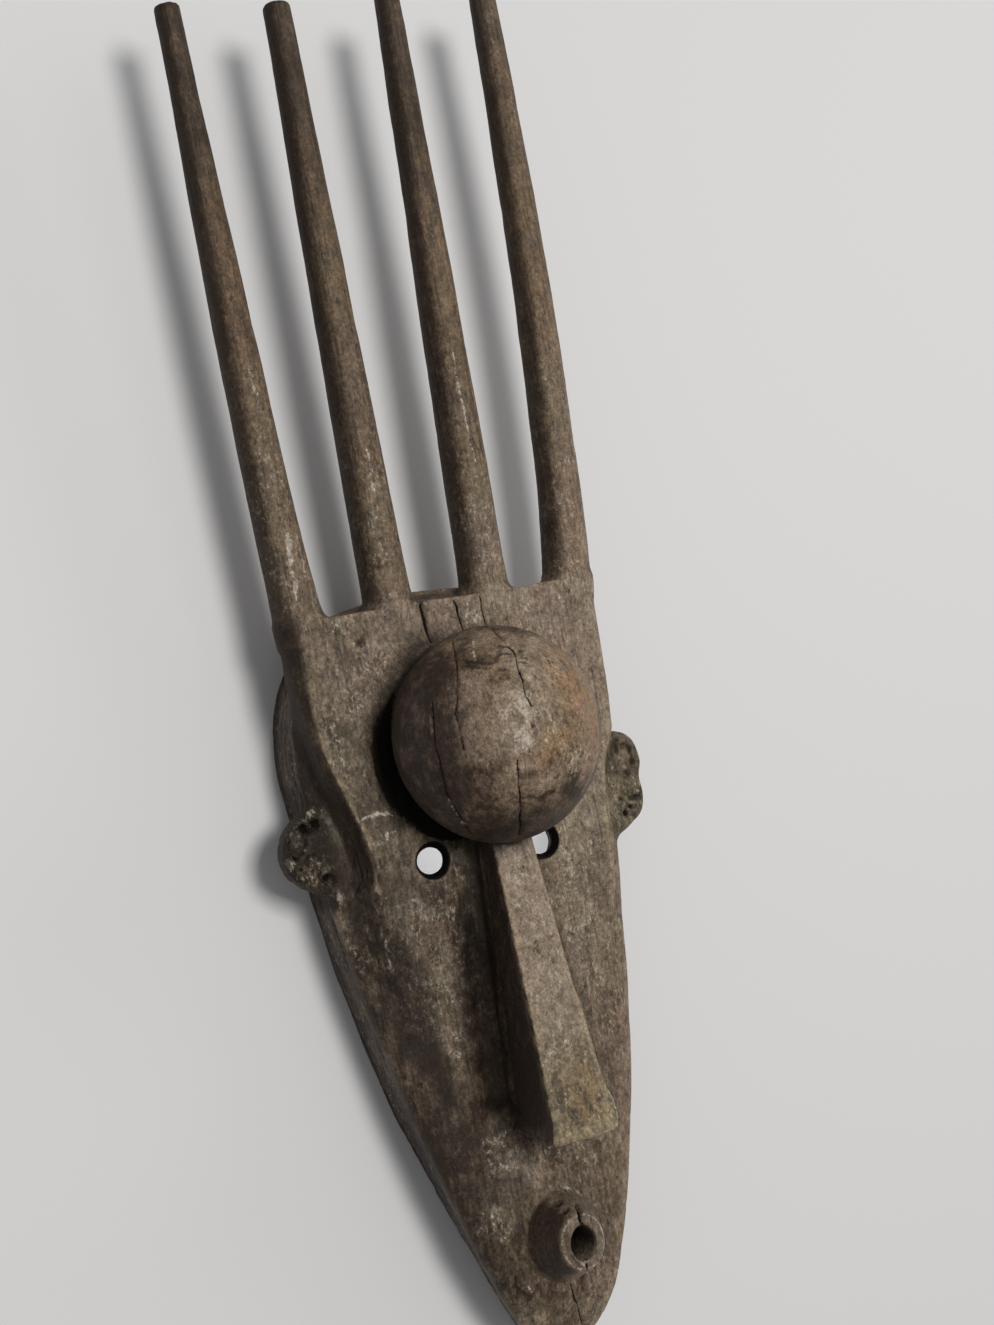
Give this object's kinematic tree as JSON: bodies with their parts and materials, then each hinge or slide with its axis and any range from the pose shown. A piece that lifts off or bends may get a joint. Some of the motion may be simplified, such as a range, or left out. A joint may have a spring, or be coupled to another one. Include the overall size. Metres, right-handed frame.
{
  "type": "carved wooden ntomo mask",
  "caption": "Long carved wooden face mask with a row of upright horns, a ball on the forehead, a wedge nose, a tube mouth and side ears; hollow behind.",
  "frame": {"origin": "centre of the bounding box, on the plane of the back rim that the mask lies on", "axes": "+X to the viewer's right, +Y from the chin to the horn tips, +Z out of the face"},
  "size_m": [0.2104, 0.713, 0.1425],
  "materials": {
    "wood": "dark weathered hardwood, satin where handled, with dust in the grain"
  },
  "bodies": {
    "root": {"mask": "wood"}
  },
  "joints": []
}
